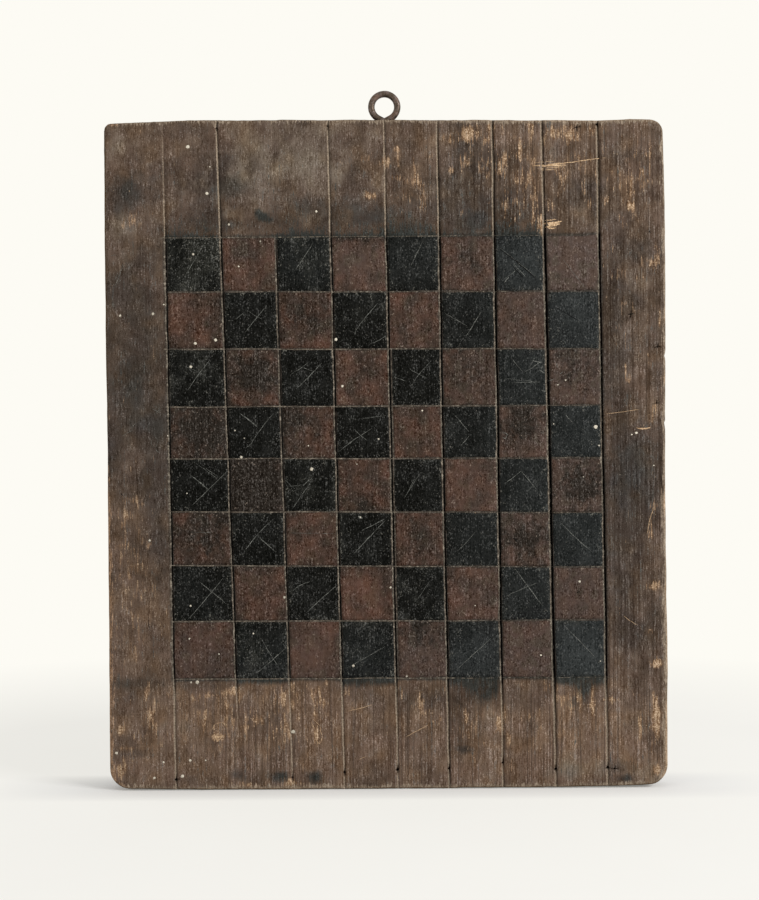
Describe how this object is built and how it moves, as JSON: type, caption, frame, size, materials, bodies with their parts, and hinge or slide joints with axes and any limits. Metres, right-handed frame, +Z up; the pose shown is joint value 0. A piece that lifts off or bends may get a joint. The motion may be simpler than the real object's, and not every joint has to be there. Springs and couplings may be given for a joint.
{
  "type": "checkerboard",
  "caption": "Wooden checkerboard: one upright plank scored into black and red painted squares, with an iron screw eye in its top edge to hang it by.",
  "frame": {"origin": "middle of the foot, half way through the depth", "axes": "+Z up along the grain, the painted face looks towards -Y, +X to the right of someone who faces the squares"},
  "size_m": [0.358, 0.0202, 0.4468],
  "materials": {
    "plank_wood": "old dark stain on softwood, dusty and rubbed to bare wood at the arrises",
    "black_paint": "thin old black paint, scratched and dull",
    "red_paint": "thin old brownish red paint, worn and dull",
    "eye_iron": "dark iron with a brown and grey patina, rubbed brighter on the loop"
  },
  "bodies": {
    "root": {"plank": "plank_wood", "black_squares": "black_paint", "red_squares": "red_paint", "screw_eye": "eye_iron"}
  },
  "joints": []
}
